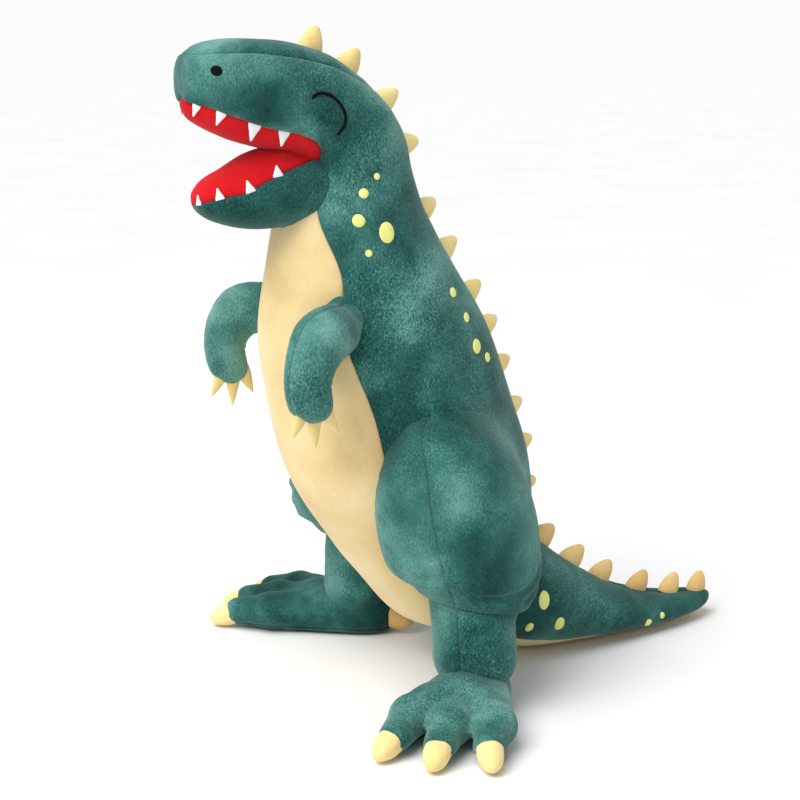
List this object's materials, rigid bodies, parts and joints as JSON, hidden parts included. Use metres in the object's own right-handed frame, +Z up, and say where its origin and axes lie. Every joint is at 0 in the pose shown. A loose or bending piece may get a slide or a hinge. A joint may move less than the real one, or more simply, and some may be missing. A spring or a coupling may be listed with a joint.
{
  "type": "stuffed dinosaur",
  "caption": "Standing plush dinosaur with an open mouth, felt teeth, a cream belly, a row of stuffed back spikes, short arms and a long tail, all flexing at sewn joints.",
  "frame": {"origin": "on the floor, under the middle of the toy's bounding box", "axes": "+Z up, +X to the toy's left, -Y the way its snout points"},
  "size_m": [0.5068, 0.567, 0.5981],
  "materials": {
    "green_plush": "short dark green pile",
    "cream_plush": "smooth short cream pile",
    "cream_trim": "smooth short cream pile, stuffed",
    "red_plush": "smooth short red pile",
    "white_felt": "white felt",
    "black_thread": "satin stitch",
    "yellow_thread": "satin stitch",
    "polyester_filling": "loose polyester fibre"
  },
  "bodies": {
    "torso": {"belly_panel": "cream_plush", "torso_side_left": "green_plush", "torso_side_right": "green_plush", "torso_stuffing": "polyester_filling", "back_spikes": "cream_trim", "body_spots": "yellow_thread"},
    "head": {"head_side_left": "green_plush", "head_side_right": "green_plush", "head_gusset": "green_plush", "palate_lining": "red_plush", "head_stuffing": "polyester_filling", "upper_teeth": "white_felt", "nostrils": "black_thread", "closed_eyes": "black_thread", "head_spikes": "cream_trim"},
    "jaw": {"chin_panel": "green_plush", "jaw_lining": "red_plush", "jaw_stuffing": "polyester_filling", "lower_teeth": "white_felt"},
    "arm_left": {"arm_outer_left": "green_plush", "arm_inner_left": "green_plush", "arm_stuffing_left": "polyester_filling", "hand_claws_left": "cream_trim"},
    "arm_right": {"arm_outer_right": "green_plush", "arm_inner_right": "green_plush", "arm_stuffing_right": "polyester_filling", "hand_claws_right": "cream_trim"},
    "leg_left": {"leg_front_left": "green_plush", "leg_back_left": "green_plush", "leg_stuffing_left": "polyester_filling", "foot_upper_left": "green_plush", "foot_sole_left": "green_plush", "foot_stuffing_left": "polyester_filling", "toe_claws_left": "cream_trim", "heel_claw_left": "cream_trim"},
    "leg_right": {"leg_front_right": "green_plush", "leg_back_right": "green_plush", "leg_stuffing_right": "polyester_filling", "foot_upper_right": "green_plush", "foot_sole_right": "green_plush", "foot_stuffing_right": "polyester_filling", "toe_claws_right": "cream_trim", "heel_claw_right": "cream_trim"},
    "tail": {"tail_side_left": "green_plush", "tail_side_right": "green_plush", "tail_underside": "cream_plush", "tail_stuffing": "polyester_filling", "tail_spikes": "cream_trim", "tail_spots": "yellow_thread"}
  },
  "joints": [
    {"name": "neck_nod", "type": "hinge", "parent": "torso", "child": "head", "pos_m": [0, -0.129, 0.445], "axis": [1, 0, 0], "range_deg": [-10, 8], "stiffness_Nm_per_rad": 5},
    {"name": "jaw_open", "type": "hinge", "parent": "head", "child": "jaw", "pos_m": [0, -0.183, 0.494], "axis": [1, 0, 0], "range_deg": [-14, 2], "stiffness_Nm_per_rad": 0.8},
    {"name": "shoulder_left", "type": "hinge", "parent": "torso", "child": "arm_left", "pos_m": [0.09, -0.153, 0.345], "axis": [1, 0, 0], "range_deg": [-30, 8], "stiffness_Nm_per_rad": 0.8},
    {"name": "shoulder_right", "type": "hinge", "parent": "torso", "child": "arm_right", "pos_m": [-0.09, -0.153, 0.345], "axis": [1, 0, 0], "range_deg": [-30, 8], "stiffness_Nm_per_rad": 0.8},
    {"name": "hip_left", "type": "hinge", "parent": "torso", "child": "leg_left", "pos_m": [0.098, -0.069, 0.195], "axis": [1, 0, 0], "range_deg": [-6, 6], "stiffness_Nm_per_rad": 10},
    {"name": "hip_right", "type": "hinge", "parent": "torso", "child": "leg_right", "pos_m": [-0.098, -0.069, 0.195], "axis": [1, 0, 0], "range_deg": [-6, 6], "stiffness_Nm_per_rad": 10},
    {"name": "tail_swing", "type": "hinge", "parent": "torso", "child": "tail", "pos_m": [0, -0.044, 0.06], "axis": [0, 0, 1], "range_deg": [-12, 12], "stiffness_Nm_per_rad": 3}
  ]
}
